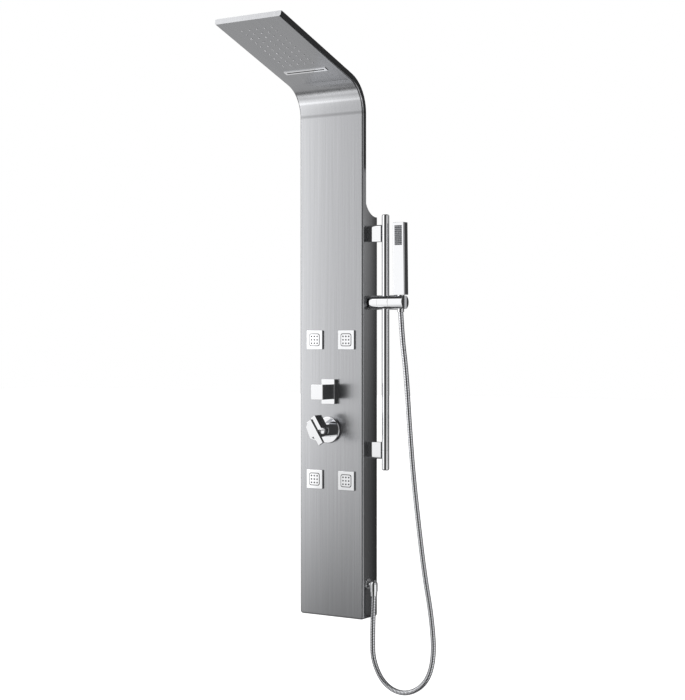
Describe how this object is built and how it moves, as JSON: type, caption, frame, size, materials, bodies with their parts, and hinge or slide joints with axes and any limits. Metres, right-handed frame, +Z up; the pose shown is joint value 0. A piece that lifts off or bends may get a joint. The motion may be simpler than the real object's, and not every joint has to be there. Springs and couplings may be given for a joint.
{
  "type": "rainfall shower column",
  "caption": "Folded steel shower column with an overhead rain arm, waterfall slot, swivel body jets, lever mixer, diverter and a sliding hand shower on a hose.",
  "frame": {"origin": "centre of the four wall bolts, on the wall plane", "axes": "+Z up, -Y out from the wall towards the user, +X towards the hand shower, which is on the right as the user faces the column"},
  "size_m": [0.4034, 0.436, 1.7101],
  "materials": {
    "brushed_panel": "stainless sheet brushed along its length",
    "plain_steel": "plain unpolished steel",
    "chrome_trim": "polished chrome plating on metal",
    "chrome_plastic": "polished chrome plating on moulded plastic",
    "raw_brass": "plain cast or turned brass",
    "water_plastic": "plain moulded plastic",
    "nozzle_rubber": "soft silicone",
    "spray_plate": "satin grey plate",
    "hose_metal": "bright steel spiral over a rubber inner tube"
  },
  "bodies": {
    "column": {"front_shell": "brushed_panel", "rear_cover": "brushed_panel", "back_plate": "plain_steel", "wall_hanger_lower": "plain_steel", "wall_hanger_upper": "plain_steel", "hanger_screws": "plain_steel", "rain_nozzles": "nozzle_rubber", "rain_chamber": "water_plastic", "waterfall_spout": "chrome_trim", "rain_pipe": "water_plastic", "waterfall_pipe": "water_plastic", "jet_nuts": "raw_brass", "jet_header_upper": "raw_brass", "jet_header_lower": "raw_brass", "handset_pipe": "water_plastic", "mixer_pipe": "raw_brass", "mixer_body": "raw_brass", "mixer_cartridge": "water_plastic", "mixer_escutcheon": "chrome_trim", "diverter_body": "raw_brass", "diverter_plate": "chrome_trim", "bar_end_upper": "chrome_trim", "bar_end_lower": "chrome_trim", "slide_bar": "chrome_trim", "bar_screws": "plain_steel", "outlet_elbow": "chrome_trim", "elbow_flange": "chrome_trim", "elbow_nut": "raw_brass", "hose_nut": "chrome_trim", "shower_hose": "hose_metal", "jet_1_frame": "chrome_trim", "jet_2_frame": "chrome_trim", "jet_3_frame": "chrome_trim", "jet_4_frame": "chrome_trim"},
    "mixer_turret": {"mixer_hub": "chrome_trim", "mixer_stem": "raw_brass", "mixer_pin": "plain_steel"},
    "lever": {"mixer_lever": "chrome_trim"},
    "diverter": {"diverter_knob": "chrome_trim", "diverter_stem": "raw_brass"},
    "slider": {"slider_body": "chrome_plastic"},
    "clamp": {"clamp_knob": "chrome_plastic"},
    "cradle": {"holder": "chrome_plastic"},
    "handset": {"handset_body": "chrome_plastic", "handset_face": "spray_plate", "handset_nozzles": "nozzle_rubber", "handset_cone": "chrome_trim"},
    "jet_1_pan": {"jet_1_ring": "water_plastic"},
    "jet_1_spray": {"jet_1_face": "chrome_plastic", "jet_1_nozzles": "nozzle_rubber"},
    "jet_2_pan": {"jet_2_ring": "water_plastic"},
    "jet_2_spray": {"jet_2_face": "chrome_plastic", "jet_2_nozzles": "nozzle_rubber"},
    "jet_3_pan": {"jet_3_ring": "water_plastic"},
    "jet_3_spray": {"jet_3_face": "chrome_plastic", "jet_3_nozzles": "nozzle_rubber"},
    "jet_4_pan": {"jet_4_ring": "water_plastic"},
    "jet_4_spray": {"jet_4_face": "chrome_plastic", "jet_4_nozzles": "nozzle_rubber"}
  },
  "joints": [
    {"name": "mixer_turn", "type": "hinge", "parent": "column", "child": "mixer_turret", "pos_m": [-0.005, -0.112, -0.072], "axis": [0, -1, 0], "range_deg": [-83, 17]},
    {"name": "mixer_lift", "type": "hinge", "parent": "mixer_turret", "child": "lever", "pos_m": [-0.005, -0.112, -0.072], "axis": [-0.8387, 0, -0.5446], "range_deg": [0, 20]},
    {"name": "diverter_turn", "type": "hinge", "parent": "column", "child": "diverter", "pos_m": [-0.002, -0.1, 0.029], "axis": [0, -1, 0], "continuous": true},
    {"name": "slider_travel", "type": "slide", "parent": "column", "child": "slider", "axis": [0, 0, 1], "range_m": [-0.34, 0.137], "deforming": ["shower_hose"]},
    {"name": "clamp_turn", "type": "hinge", "parent": "slider", "child": "clamp", "pos_m": [0.115, -0.034, 0.262], "axis": [1, 0, 0], "range_deg": [-90, 90]},
    {"name": "cradle_tilt", "type": "hinge", "parent": "slider", "child": "cradle", "pos_m": [0.185, -0.034, 0.262], "axis": [1, 0, 0], "range_deg": [-5, 45], "deforming": ["shower_hose"]},
    {"name": "handset_lift", "type": "slide", "parent": "cradle", "child": "handset", "axis": [0, 0, 1], "range_m": [0, 0.05], "deforming": ["shower_hose"]},
    {"name": "jet_1_pan", "type": "hinge", "parent": "column", "child": "jet_1_pan", "pos_m": [-0.05, -0.063, 0.165], "axis": [0, 0, 1], "range_deg": [-6, 6]},
    {"name": "jet_1_tilt", "type": "hinge", "parent": "jet_1_pan", "child": "jet_1_spray", "pos_m": [-0.05, -0.063, 0.165], "axis": [1, 0, 0], "range_deg": [-6, 6]},
    {"name": "jet_2_pan", "type": "hinge", "parent": "column", "child": "jet_2_pan", "pos_m": [0.05, -0.063, 0.165], "axis": [0, 0, 1], "range_deg": [-6, 6]},
    {"name": "jet_2_tilt", "type": "hinge", "parent": "jet_2_pan", "child": "jet_2_spray", "pos_m": [0.05, -0.063, 0.165], "axis": [1, 0, 0], "range_deg": [-6, 6]},
    {"name": "jet_3_pan", "type": "hinge", "parent": "column", "child": "jet_3_pan", "pos_m": [-0.05, -0.063, -0.204], "axis": [0, 0, 1], "range_deg": [-6, 6]},
    {"name": "jet_3_tilt", "type": "hinge", "parent": "jet_3_pan", "child": "jet_3_spray", "pos_m": [-0.05, -0.063, -0.204], "axis": [1, 0, 0], "range_deg": [-6, 6]},
    {"name": "jet_4_pan", "type": "hinge", "parent": "column", "child": "jet_4_pan", "pos_m": [0.05, -0.063, -0.204], "axis": [0, 0, 1], "range_deg": [-6, 6]},
    {"name": "jet_4_tilt", "type": "hinge", "parent": "jet_4_pan", "child": "jet_4_spray", "pos_m": [0.05, -0.063, -0.204], "axis": [1, 0, 0], "range_deg": [-6, 6]}
  ]
}
